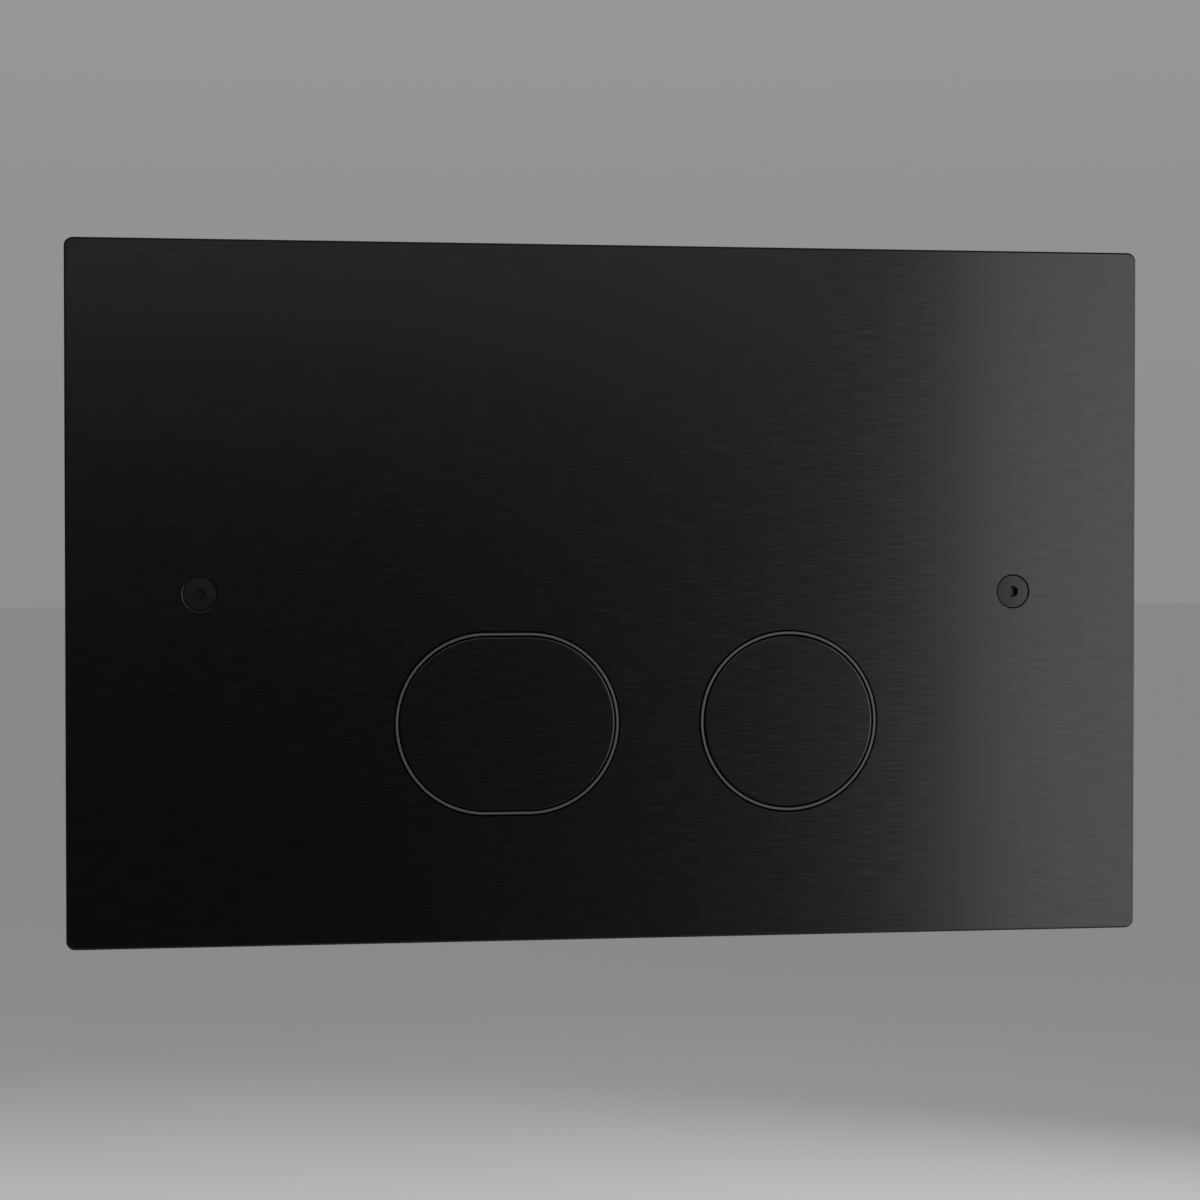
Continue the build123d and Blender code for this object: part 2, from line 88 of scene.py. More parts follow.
def linear(hex_colour: str) -> tuple[float, float, float, float]:
    """Turn an sRGB hex colour into linear light.

    Args:
        hex_colour: Six hex digits after a hash sign.

    Returns:
        Linear red, green and blue, and an alpha of one.
    """
    coded = np.array([int(hex_colour[i : i + 2], 16) for i in (1, 3, 5)]) / 255
    light = np.where(coded <= 0.04045, coded / 12.92, ((coded + 0.055) / 1.055) ** 2.4)
    return (*light.tolist(), 1.0)


def add(tree: bpy.types.NodeTree, kind: str, inputs: dict | None = None, **settings) -> bpy.types.Node:
    """Add a node, set its properties and fill its inputs.

    Args:
        tree: The node tree that gets the node.
        kind: The node's Blender type.
        inputs: Values by socket name, or a node and the name of its output, which is linked.
        **settings: Properties of the node itself.

    Returns:
        The new node.
    """
    node = tree.nodes.new(kind)
    for name, value in settings.items():
        setattr(node, name, value)
    for socket, value in (inputs or {}).items():
        if isinstance(value, tuple) and isinstance(value[0], bpy.types.Node):
            tree.links.new(value[0].outputs[value[1]], node.inputs[socket])
        else:
            node.inputs[socket].default_value = value
    return node


@dataclass(frozen=True)
class Finish:
    """A finish with two close shades in soft clouds and a fine grain that breaks the gloss.

    Attributes:
        name: The real material and how its surface was made.
        colour: Its main shade, as sRGB hex.
        shade: The other shade, as sRGB hex.
        roughness: The middle roughness.
        spread: How far the grain moves the roughness to each side.
        metallic: One on bare or coated metal, otherwise zero.
        grain_mm: Width of the grain.
        cloud_mm: Width of the clouds of shade.
        depth_um: Height of the grain.
    """

    name: str
    colour: str
    shade: str
    roughness: float
    spread: float = 0.05
    metallic: float = 0.0
    grain_mm: float = 0.4
    cloud_mm: float = 12.0
    depth_um: float = 4.0

    def grain(self, tree: bpy.types.NodeTree) -> Link:
        """Even grain of the finish's width, from noise on the piece's own coordinates.

        Args:
            tree: The material's node tree.

        Returns:
            The node and output that give the grain's height from zero to one.
        """
        place = add(tree, "ShaderNodeTexCoord")
        scale = 1 / (self.grain_mm * MM)
        noise = add(
            tree, "ShaderNodeTexNoise", {"Vector": (place, "Object"), "Scale": scale, "Detail": 3.0}
        )
        return noise, "Fac"

    def clouds(self, tree: bpy.types.NodeTree, height: Link) -> Link:
        """Soft clouds of the finish's cloud width, which mix its two shades.

        Args:
            tree: The material's node tree.
            height: The grain's height from zero to one; not used here.

        Returns:
            The node and output that give the share of the second shade.
        """
        place = add(tree, "ShaderNodeTexCoord")
        scale = 1 / (self.cloud_mm * MM)
        noise = add(
            tree, "ShaderNodeTexNoise", {"Vector": (place, "Object"), "Scale": scale, "Detail": 2.0}
        )
        return noise, "Fac"

    def normal(self, tree: bpy.types.NodeTree, height: Link) -> Link:
        """Raise the grain as a bump.

        Args:
            tree: The material's node tree.
            height: The grain's height from zero to one.

        Returns:
            The node and output that give the normal.
        """
        bump = add(tree, "ShaderNodeBump", {"Height": height, "Distance": self.depth_um * MICRON})
        return bump, "Normal"

    def constants(self) -> dict[str, float]:
        """Values that are the same all over the surface, by shader socket."""
        return {}

    def links(self, tree: bpy.types.NodeTree) -> dict[str, Link]:
        """Further patterned inputs of the shader, by socket."""
        return {}

    def material(self) -> bpy.types.Material:
        """Build the node material.

        Returns:
            The material, with shade, roughness and bump from its patterns.
        """
        material = bpy.data.materials.new(self.name)
        material.use_nodes = True
        tree = material.node_tree
        tree.nodes.clear()
        height = self.grain(tree)
        tint = add(
            tree,
            "ShaderNodeMix",
            {"Factor": self.clouds(tree, height), "A": linear(self.colour), "B": linear(self.shade)},
            data_type="RGBA",
        )
        gloss = add(
            tree,
            "ShaderNodeMapRange",
            {
                "Value": height,
                "From Min": NOISE_SPAN[0],
                "From Max": NOISE_SPAN[1],
                "To Min": self.roughness - self.spread,
                "To Max": self.roughness + self.spread,
            },
        )
        shader = add(
            tree,
            "ShaderNodeBsdfPrincipled",
            {
                "Base Color": (tint, "Result"),
                "Metallic": self.metallic,
                "Roughness": (gloss, "Result"),
                "Normal": self.normal(tree, height),
                **self.constants(),
                **self.links(tree),
            },
        )
        add(tree, "ShaderNodeOutputMaterial", {"Surface": (shader, "BSDF")})
        return material


@dataclass(frozen=True)
class Brushed(Finish):
    """A finish of fine straight lines along X, which spread a highlight up and down.

    Attributes:
        line_mm: Length of a brush line.
        anisotropy: How much further the highlight spreads across the lines than along them.
    """

    line_mm: float = 7.0
    anisotropy: float = 0.1

    def grain(self, tree: bpy.types.NodeTree) -> Link:
        """Straight lines, from noise drawn out along X to the length of a brush line.

        Args:
            tree: The material's node tree.

        Returns:
            The node and output that give the lines' height from zero to one.
        """
        place = add(tree, "ShaderNodeTexCoord")
        across = 1 / (self.grain_mm * MM)
        drawn = add(
            tree,
            "ShaderNodeMapping",
            {"Vector": (place, "Object"), "Scale": (1 / (self.line_mm * MM), across, across)},
        )
        noise = add(
            tree, "ShaderNodeTexNoise", {"Vector": (drawn, "Vector"), "Scale": 1.0, "Detail": 3.0}
        )
        return noise, "Fac"

    def clouds(self, tree: bpy.types.NodeTree, height: Link) -> Link:
        """The lines themselves, so that the rougher ones are the lighter ones."""
        return height

    def constants(self) -> dict[str, float]:
        """The strength of the spread across the lines."""
        return {"Anisotropic": self.anisotropy}

    def links(self, tree: bpy.types.NodeTree) -> dict[str, Link]:
        """The direction of the spread: up, leant a little so that it lies along no face's normal."""
        upward = add(tree, "ShaderNodeCombineXYZ", {"X": 0.03, "Y": 0.05, "Z": 1.0})
        return {"Tangent": (upward, "Vector")}


@dataclass(frozen=True)
class Turned(Finish):
    """A finish of fine rings on slightly domed heads, round the axes of the two plate screws.

    Attributes:
        axis_mm: How far each screw's axis stands from the middle of the plate.
        head_mm: Radius of a head.
        dome_deg: How far the head's face leans outwards at its rim.
    """

    axis_mm: float = 95.0
    head_mm: float = 3.8
    dome_deg: float = 1.4

    def centred(self, tree: bpy.types.NodeTree) -> Link:
        """Measure from the nearer screw's axis: X less the axis's X, which has the sign of X.

        Args:
            tree: The material's node tree.

        Returns:
            The node and output that give the place from the axis.
        """
        place = add(tree, "ShaderNodeTexCoord")
        split = add(tree, "ShaderNodeSeparateXYZ", {"Vector": (place, "Object")})
        side = add(tree, "ShaderNodeMath", {0: (split, "X")}, operation="SIGN")
        away = self.axis_mm * MM
        axis = add(tree, "ShaderNodeMath", {0: (side, "Value"), 1: away}, operation="MULTIPLY")
        across = add(tree, "ShaderNodeMath", {0: (split, "X"), 1: (axis, "Value")}, operation="SUBTRACT")
        centred = add(tree, "ShaderNodeCombineXYZ", {"X": (across, "Value"), "Z": (split, "Z")})
        return centred, "Vector"

    def normal(self, tree: bpy.types.NodeTree, height: Link) -> Link:
        """Raise the rings as a bump on a face that leans outwards in step with the distance from the axis.

        Args:
            tree: The material's node tree.
            height: The rings' height from zero to one.

        Returns:
            The node and output that give the normal.
        """
        face = add(tree, "ShaderNodeNewGeometry")
        lean = math.radians(self.dome_deg) / (self.head_mm * MM)
        domed = add(
            tree,
            "ShaderNodeVectorMath",
            {0: self.centred(tree), 1: (lean, lean, lean), 2: (face, "Normal")},
            operation="MULTIPLY_ADD",
        )
        unit = add(tree, "ShaderNodeVectorMath", {0: (domed, "Vector")}, operation="NORMALIZE")
        bump = add(
            tree,
            "ShaderNodeBump",
            {"Height": height, "Distance": self.depth_um * MICRON, "Normal": (unit, "Vector")},
        )
        return bump, "Normal"

    def grain(self, tree: bpy.types.NodeTree) -> Link:
        """Rings of the grain's width, by distance from the nearer screw's axis.

        Args:
            tree: The material's node tree.

        Returns:
            The node and output that give the rings' height from zero to one.
        """
        # A ring pattern of scale 1 repeats every tenth of pi
        rings = add(
            tree,
            "ShaderNodeTexWave",
            {
                "Vector": self.centred(tree),
                "Scale": math.pi / 10 / (self.grain_mm * MM),
                "Distortion": 1.5,
                "Detail": 2.0,
            },
            wave_type="RINGS",
            rings_direction="Y",
        )
        return rings, "Fac"


@dataclass(frozen=True)
class Polymer(Finish):
    """A moulded plastic or rubber, with its index of refraction.

    Attributes:
        ior: Index of refraction.
    """

    ior: float = 1.5

    def constants(self) -> dict[str, float]:
        """The index of refraction."""
        return {"IOR": self.ior}


@dataclass(frozen=True)
class Foam(Polymer):
    """A closed-cell foam, whose cut cells pit the surface."""

    def grain(self, tree: bpy.types.NodeTree) -> Link:
        """Rounded cells of the grain's width, from distance to the nearest cell centre.

        Args:
            tree: The material's node tree.

        Returns:
            The node and output that give the cells' height from zero to one.
        """
        place = add(tree, "ShaderNodeTexCoord")
        cells = add(
            tree,
            "ShaderNodeTexVoronoi",
            {"Vector": (place, "Object"), "Scale": 1 / (self.grain_mm * MM)},
        )
        return cells, "Distance"


FINISHES: dict[str, Finish] = {
    # Stainless sheet, brushed and then coated black by vapour: a dark mirror blurred by fine lines. Real
    # lines are some 0.05 mm wide, too fine to show, so they are drawn coarser
    "black_brushed_plate": Brushed(
        "black_coated_brushed_stainless",
        colour="#1d1d1d",
        shade="#1e1e1e",
        roughness=0.17,
        spread=0.07,
        metallic=1.0,
        grain_mm=0.24,
        depth_um=0.5,
    ),
    # Steel with a black oxide, turned: duller than the plate, with rings from the tool. Real rings are
    # some 0.1 mm apart, too fine to show, so they are drawn coarser
    "black_screw": Turned(
        "black_oxide_turned_steel",
        colour="#1a1a1a",
        shade="#1e1e1e",
        roughness=0.29,
        spread=0.04,
        metallic=1.0,
        grain_mm=0.45,
        cloud_mm=3.0,
        depth_um=0.8,
    ),
    # Acetal filled with PTFE so that the buttons slide: moulded and satin, a soft grey sheen round them
    "guide_ring_plastic": Polymer(
        "ptfe_filled_acetal",
        colour="#141414",
        shade="#181818",
        roughness=0.5,
        grain_mm=0.2,
        cloud_mm=6.0,
        depth_um=2.0,
        ior=1.41,
    ),
    # ABS from an eroded mould: matt light grey with a fine even grain
    "frame_plastic": Polymer(
        "grained_moulded_abs",
        colour="#aeb3b6",
        shade="#b6babc",
        roughness=0.5,
        spread=0.06,
        grain_mm=0.5,
        cloud_mm=25.0,
        depth_um=12.0,
        ior=1.54,
    ),
    # Glass-filled nylon: black, with the fibres' faint grey flow in the skin
    "carrier_plastic": Polymer(
        "glass_filled_nylon",
        colour="#1c1c1d",
        shade="#28282a",
        roughness=0.42,
        spread=0.08,
        grain_mm=0.35,
        cloud_mm=7.0,
        depth_um=6.0,
        ior=1.53,
    ),
    # Natural acetal: waxy off-white
    "bush_plastic": Polymer(
        "natural_acetal",
        colour="#dcd8cb",
        shade="#e4e1d6",
        roughness=0.35,
        grain_mm=0.3,
        cloud_mm=5.0,
        depth_um=2.0,
        ior=1.48,
    ),
    # Cut foam: black and matt, pitted by open cells
    "gasket_foam": Foam(
        "closed_cell_foam",
        colour="#202021",
        shade="#2a2a2b",
        roughness=0.85,
        spread=0.08,
        grain_mm=0.6,
        cloud_mm=9.0,
        depth_um=120.0,
        ior=1.45,
    ),
    # Moulded rubber: black, dull, with a dusty bloom
    "black_rubber": Polymer(
        "moulded_rubber",
        colour="#1b1b1b",
        shade="#262625",
        roughness=0.68,
        spread=0.08,
        grain_mm=0.3,
        cloud_mm=4.0,
        depth_um=6.0,
        ior=1.52,
    ),
    # Zinc-plated steel: bright bluish grey with soft spots
    "zinc_steel": Finish(
        "zinc_plated_steel",
        colour="#c3c7cb",
        shade="#b4b8bd",
        roughness=0.3,
        spread=0.08,
        metallic=1.0,
        grain_mm=0.25,
        cloud_mm=3.0,
        depth_um=2.0,
    ),
    # Ground stainless pin: bright and smooth
    "pin_steel": Finish(
        "ground_stainless_steel",
        colour="#cfcdca",
        shade="#c6c4c0",
        roughness=0.2,
        spread=0.04,
        metallic=1.0,
        grain_mm=0.15,
        cloud_mm=6.0,
        depth_um=0.8,
    ),
    # Drawn spring wire: bright, a little yellower
    "spring_steel": Finish(
        "drawn_spring_wire",
        colour="#b9b6b0",
        shade="#a9a69f",
        roughness=0.26,
        spread=0.06,
        metallic=1.0,
        grain_mm=0.12,
        cloud_mm=3.0,
        depth_um=1.5,
    ),
    # Turned brass: warm yellow, a little dulled
    "brass_insert": Finish(
        "turned_brass",
        colour="#d3ad62",
        shade="#c59c51",
        roughness=0.28,
        spread=0.06,
        metallic=1.0,
        grain_mm=0.2,
        cloud_mm=3.0,
        depth_um=2.0,
    ),
}


class Finishes:
    """Makes each finish's material once and puts it on pieces by the record's slot name."""

    def __init__(self) -> None:
        """Start with no material made."""
        self.made: dict[str, bpy.types.Material] = {}

    def material(self, slot: str) -> bpy.types.Material:
        """Give a slot's material, making it the first time.

        Args:
            slot: The record's slot name.

        Returns:
            The slot's material.
        """
        if slot not in self.made:
            self.made[slot] = FINISHES[slot].material()
        return self.made[slot]

    def dress(self, piece: bpy.types.Object, slot: str) -> None:
        """Put a slot's material on every material slot of a piece.

        Args:
            piece: A solid's object or a new piece.
            slot: The record's slot name.
        """
        if not piece.material_slots:
            piece.data.materials.append(self.material(slot))
        for holder in piece.material_slots:
            holder.material = self.material(slot)

    def dress_node(self, node: str) -> None:
        """Put its own slot's material on a solid, and report it.

        Args:
            node: The solid's name.
        """
        self.dress(frame["nodes"][node], SLOT_OF[node])
        log.info("dressed %s as %s", node, SLOT_OF[node])


def surface(name: str, grids: list[np.ndarray], sharp_deg: float = 40.0) -> bpy.types.Object:
    """Make one closed mesh object from grids of points whose second index goes round.

    Rows are joined to the next row and each row closes on itself. Points that coincide, as at a pole,
    are merged, and faces are turned to point outwards.

    Args:
        name: The object's name.
        grids: Arrays of shape (rows, columns, 3), in metres.
        sharp_deg: Edges that turn by more than this stay sharp.

    Returns:
        The object, linked to the scene, with its place in its mesh.
    """
    points, faces, start = [], [], 0
    for grid in grids:
        rows, columns = grid.shape[:2]
        index = start + np.arange(rows * columns).reshape(rows, columns)
        onward = np.roll(index, -1, axis=1)
        quads = np.stack([index[:-1], onward[:-1], onward[1:], index[1:]], axis=-1)
        points.append(grid.reshape(-1, 3))
        faces.append(quads.reshape(-1, 4))
        start += rows * columns
    mesh = bpy.data.meshes.new(name)
    mesh.from_pydata(np.concatenate(points), [], np.concatenate(faces).tolist())
    shape = bmesh.new()
    shape.from_mesh(mesh)
    bmesh.ops.remove_doubles(shape, verts=shape.verts, dist=SAME_POINT)
    bmesh.ops.dissolve_degenerate(shape, edges=shape.edges, dist=SAME_POINT)
    bmesh.ops.recalc_face_normals(shape, faces=shape.faces)
    shape.to_mesh(mesh)
    shape.free()
    mesh.shade_smooth()
    mesh.set_sharp_from_angle(angle=math.radians(sharp_deg))
    piece = bpy.data.objects.new(name, mesh)
    bpy.context.scene.collection.objects.link(piece)
    return piece


def ring_grid(x: float, z: float, radius: np.ndarray, depth: np.ndarray) -> np.ndarray:
    """Carry rows of radii round an axis along Y: (x + r cos a, y, z + r sin a).

    Args:
        x: The axis's place along X.
        z: The axis's place along Z.
        radius: Radii of shape (rows, columns), one column for each angle.
        depth: Y of each row.

    Returns:
        Points of shape (rows, columns, 3).
    """
    angle = np.arange(radius.shape[1]) * FULL_TURN / radius.shape[1]
    across = x + radius * np.cos(angle)
    up = z + radius * np.sin(angle)
    return np.stack([across, np.broadcast_to(depth[:, None], radius.shape), up], axis=-1)


def thread_rows(
    start: float, end: float, radius: float, pitch: float, lead_in: tuple[float, float], columns: int
) -> tuple[np.ndarray, np.ndarray]:
    """Work out the radii of a screw thread along Y.

    The radius falls from the crest and rises again once each pitch, as a triangle wave with flat tops,
    and the wave moves on by one pitch a turn. At each end the radius stays inside a chamfer.

    Args:
        start: Y where the thread starts.
        end: Y where it ends.
        radius: Crest radius.
        pitch: Distance from crest to crest.
        lead_in: Length of the chamfer at the start and at the end, zero for none.
        columns: Number of points round the thread.

    Returns:
        Radii of shape (rows, columns), and Y of each row.
    """
    steps_a_pitch = 8
    # The thread's depth as a share of the pitch, and how much of the wave is cut off at each end
    deep, flat = 0.6, 0.15
    depth = np.linspace(start, end, int((end - start) / pitch * steps_a_pitch) + 1)
    turn = np.arange(columns) / columns
    phase = (depth[:, None] - start) / pitch - turn
    wave = np.abs(2 * (phase % 1) - 1)
    groove = np.clip((1 + 2 * flat) * wave - flat, 0, 1)
    radii = radius - deep * pitch * groove
    front, back = lead_in
    envelope = radius + np.minimum(0, np.minimum(depth - start - front, end - depth - back))
    return np.minimum(radii, envelope[:, None]), depth


def pole(columns: int) -> np.ndarray:
    """A row of zero radii, which closes an end."""
    return np.zeros((1, columns))


@dataclass
class FacePlate:
    """The metal plate with its screws and the foam strip behind it.

    Attributes:
        nodes: Its solids.
    """

    nodes: tuple[str, ...] = ("front_plate", "plate_screws", "wall_gasket")

    def dress(self, finishes: Finishes) -> None:
        """Put the finishes on the plate, its screws and the gasket.

        Args:
            finishes: The finishes to use.
        """
        for node in self.nodes:
            finishes.dress_node(node)


@dataclass
class MountingFrame:
    """The moulded frame behind the plate, its inserts, and the studs that hold it to the cistern.

    Attributes:
        nodes: The solids that only need a finish.
        stud_x: How far each stud stands from the middle.
        front_radius: Radius of the short threaded end.
        free_radius: Radius of the long threaded end.
        front_pitch: Pitch of the short end's thread.
        free_pitch: Pitch of the long end's thread.
        shoulder_flats: Width across the flats of the hex shoulder.
        shoulder_length: Length of the hex shoulder.
        frame_lip: How far the frame's rim stands behind the face that the shoulder meets.
        lead_in: Length of the chamfer at each end.
        bevel_deg: Slope of the cone that turns off the shoulder's corners.
        bevel_steps: Rows in that cone.
        columns: Number of points round a stud.
    """

    nodes: tuple[str, ...] = ("mounting_frame", "frame_inserts", "fixing_washers", "fixing_nuts")
    stud_x: float = 75 * MM
    front_radius: float = 2.5 * MM
    free_radius: float = 3 * MM
    front_pitch: float = 0.8 * MM
    free_pitch: float = 1 * MM
    shoulder_flats: float = 10 * MM
    shoulder_length: float = 6 * MM
    frame_lip: float = 2.5 * MM
    lead_in: float = 0.8 * MM
    bevel_deg: float = 30.0
    bevel_steps: int = 6
    columns: int = 96

    def hexagon(self) -> np.ndarray:
        """Work out a hexagon with a corner on top: half the flats over the cosine of the turn from a flat.

        Returns:
            Its radii, one for each angle.
        """
        angle = np.arange(self.columns) * FULL_TURN / self.columns
        half_side = math.radians(30)
        from_flat = (angle + half_side) % (2 * half_side) - half_side
        return self.shoulder_flats / 2 / np.cos(from_flat)

    def stud(self, x: float, z: float, start: float, shoulder: float, end: float) -> np.ndarray:
        """Work out one stud: thread, hex shoulder with turned corners, thread.

        Args:
            x: The stud's place along X.
            z: The stud's place along Z.
            start: Y of its front end.
            shoulder: Y of the shoulder's front.
            end: Y of its back end.

        Returns:
            Points of shape (rows, columns, 3).
        """
        behind = shoulder + self.shoulder_length
        front, front_y = thread_rows(
            start, shoulder, self.front_radius, self.front_pitch, (self.lead_in, 0), self.columns
        )
        free, free_y = thread_rows(
            behind, end, self.free_radius, self.free_pitch, (0, self.lead_in), self.columns
        )
        corner = self.hexagon()
        reach = np.linspace(0, corner.max() - self.shoulder_flats / 2, self.bevel_steps)
        cone = np.concatenate([reach, reach[::-1]]) + self.shoulder_flats / 2
        hexes = np.minimum(corner, cone[:, None])
        rise = reach * math.tan(math.radians(self.bevel_deg))
        hex_y = np.concatenate([shoulder + rise, behind - rise[::-1]])
        radii = np.concatenate([pole(self.columns), front, hexes, free, pole(self.columns)])
        depth = np.concatenate([[start], front_y, hex_y, free_y, [end]])
        return ring_grid(x, z, radii, depth)

    def build(self, finishes: Finishes) -> None:
        """Build the threaded studs in place of their plain solids.

        Args:
            finishes: The finishes to use.
        """
        low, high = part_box("fixing_studs")
        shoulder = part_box("mounting_frame")[1].y - self.frame_lip
        z = (low.z + high.z) / 2
        grids = [self.stud(side * self.stud_x, z, low.y, shoulder, high.y) for side in (-1, 1)]
        studs = surface("threaded_studs", grids)
        finishes.dress(studs, SLOT_OF["fixing_studs"])
        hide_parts("fixing_studs")
        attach(studs, Body.PLATE.value)
        log.info("built %s", studs.name)

    def dress(self, finishes: Finishes) -> None:
        """Put the finishes on the frame and its small parts.

        Args:
            finishes: The finishes to use.
        """
        for node in self.nodes:
            finishes.dress_node(node)


@dataclass
class ButtonUnit:
    """One flush button with its liner, carrier, guides, springs and push rod.

    Attributes:
        name: What the names of its solids start with.
        body: The body that moves with the button.
        joint: The joint that the button moves on; not used here.
        travel: How far the button goes in; not used here.
        pieces: The solids that only need a finish, without the button's name.
        rod_pitch: Pitch of the rod's thread.
        rod_lead_in: Length of the chamfer at the rod's ends.
        spring_wire: Diameter of the spring wire.
        spring_turns: Number of turns, the closed end turns among them.
        closed_turns: Turns at each end that lie on each other.
        columns: Number of points round the rod.
    """

    name: str
    body: Body
    joint: str
    travel: float = 6 * MM
    pieces: tuple[str, ...] = (
        "button",
        "guide_ring",
        "carrier",
        "button_screws",
        "guide_pins",
        "guide_bushes",
        "pin_clips",
        "stop_pad",
        "lock_nut",
        "rod_cap",
    )
    rod_pitch: float = 0.8 * MM
    rod_lead_in: float = 0.6 * MM
    spring_wire: float = 0.9 * MM
    spring_turns: float = 7.0
    closed_turns: float = 1.0
    columns: int = 36

    def build_rod(self, finishes: Finishes) -> None:
        """Build the threaded push rod in place of its plain solid.

        Args:
            finishes: The finishes to use.
        """
        node = f"{self.name}_push_rod"
        low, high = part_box(node)
        radius = (high.x - low.x) / 2
        lead_in = (self.rod_lead_in, self.rod_lead_in)
        thread, thread_y = thread_rows(low.y, high.y, radius, self.rod_pitch, lead_in, self.columns)
        radii = np.concatenate([pole(self.columns), thread, pole(self.columns)])
        depth = np.concatenate([[low.y], thread_y, [high.y]])
        grid = ring_grid((low.x + high.x) / 2, (low.z + high.z) / 2, radii, depth)
        rod = surface(f"{self.name}_threaded_rod", [grid])
        finishes.dress(rod, SLOT_OF[node])
        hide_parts(node)
        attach(rod, self.body.value)
        log.info("built %s", rod.name)

    def coil(self, x: float, z: float, start: float, end: float, mean_radius: float) -> np.ndarray:
        """Work out one spring: round wire on a helix with closed ends that are ground flat.

        The wire's centre is (x + R cos a, y, z + R sin a). Its y rises by the wire's thickness a turn in
        the closed ends and evenly between them, and the wire's surface is cut flat at the start and the
        end.

        Args:
            x: The spring's axis along X.
            z: The spring's axis along Z.
            start: Y of the front end.
            end: Y of the back end.
            mean_radius: Radius of the helix.

        Returns:
            Points of shape (rows, columns, 3).
        """
        steps_a_turn, round_steps = 40, 14
        turns = np.linspace(0, self.spring_turns, int(self.spring_turns * steps_a_turn) + 1)
        closed = self.closed_turns * self.spring_wire
        knots = [0, self.closed_turns, self.spring_turns - self.closed_turns, self.spring_turns]
        # The end turns are ground off halfway from the wire's middle to its skin
        inset = self.spring_wire / 4
        rises = [start + inset, start + inset + closed, end - inset - closed, end - inset]
        depth = np.interp(turns, knots, rises)
        angle = turns * FULL_TURN
        wire = np.full(len(turns), self.spring_wire / 2)
        wire = np.concatenate([[0], wire, [0]])
        angle = np.concatenate([angle[:1], angle, angle[-1:]])
        depth = np.concatenate([depth[:1], depth, depth[-1:]])
        section = np.arange(round_steps) * FULL_TURN / round_steps
        reach = mean_radius + wire[:, None] * np.cos(section)
        level = np.clip(depth[:, None] + wire[:, None] * np.sin(section), start, end)
        across = x + reach * np.cos(angle)[:, None]
        up = z + reach * np.sin(angle)[:, None]
        return np.stack([across, level, up], axis=-1)

    def build_springs(self, finishes: Finishes) -> None:
        """Build the two return springs at their rest length, fixed to the plate's body.

        Args:
            finishes: The finishes to use.
        """
        node = f"{self.name}_return_springs"
        low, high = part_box(node)
        outer = (high.z - low.z) / 2
        mean_radius = outer - self.spring_wire / 2
        z = (low.z + high.z) / 2
        grids = [self.coil(x, z, low.y, high.y, mean_radius) for x in (low.x + outer, high.x - outer)]
        springs = surface(f"{self.name}_spring_coils", grids)
        finishes.dress(springs, SLOT_OF[node])
        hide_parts(node)
        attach(springs, Body.PLATE.value)
        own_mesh(springs)
        log.info("built %s", springs.name)

    def dress(self, finishes: Finishes) -> None:
        """Put the finishes on the unit's solids.

        Args:
            finishes: The finishes to use.
        """
        for piece in self.pieces:
            finishes.dress_node(f"{self.name}_{piece}")


@dataclass(frozen=True)
class Softbox:
    """A rectangular lamp.

    Attributes:
        name: What the lamp is.
        place: Its middle.
        size: Its width and height.
        watts: Its power.
        turn_deg: Its rotation about X, Y and Z; unturned it shines down.
        grid_deg: How wide a grid on it lets the light fan out; 180 is no grid.
    """

    name: str
    place: tuple[float, float, float]
    size: tuple[float, float]
    watts: float
    turn_deg: tuple[float, float, float]
    grid_deg: float = 180.0

    def build(self) -> None:
        """Add the lamp, hidden from the camera."""
        light = bpy.data.lights.new(self.name, "AREA")
        light.shape = "RECTANGLE"
        light.size, light.size_y = self.size
        light.energy = self.watts
        light.spread = math.radians(self.grid_deg)
        lamp = bpy.data.objects.new(self.name, light)
        lamp.location = self.place
        lamp.rotation_euler = [math.radians(angle) for angle in self.turn_deg]
        lamp.visible_camera = False
        bpy.context.scene.collection.objects.link(lamp)


class Grade(Enum):
    """Which way a graded lamp brightens, as a step along X and Z."""

    RIGHT = (1, 0)
    UP = (0, 1)


@dataclass(frozen=True)
class GradedBox:
    """A lamp that shines straight at the wall and brightens evenly to one side, made of strips.

    Attributes:
        name: What the lamp is.
        place: Its middle.
        size: Its width and height.
        watts: Power of the dimmest strip.
        ratio: How many times brighter each strip is than the last.
        strips: Number of strips.
        grade: The side to which it brightens.
    """

    name: str
    place: tuple[float, float, float]
    size: tuple[float, float]
    watts: float
    ratio: float
    strips: int
    grade: Grade

    def build(self) -> None:
        """Add the strips side by side."""
        step_x, step_z = self.grade.value
        width, height = self.size
        size = (width / self.strips if step_x else width, height / self.strips if step_z else height)
        x, y, z = self.place
        to_wall = (90, 0, 0)
        for strip in range(self.strips):
            offset = (strip + 0.5) / self.strips - 0.5
            place = (x + step_x * offset * width, y, z + step_z * offset * height)
            watts = self.watts * self.ratio**strip
            Softbox(f"{self.name}_{strip}", place, size, watts, to_wall).build()


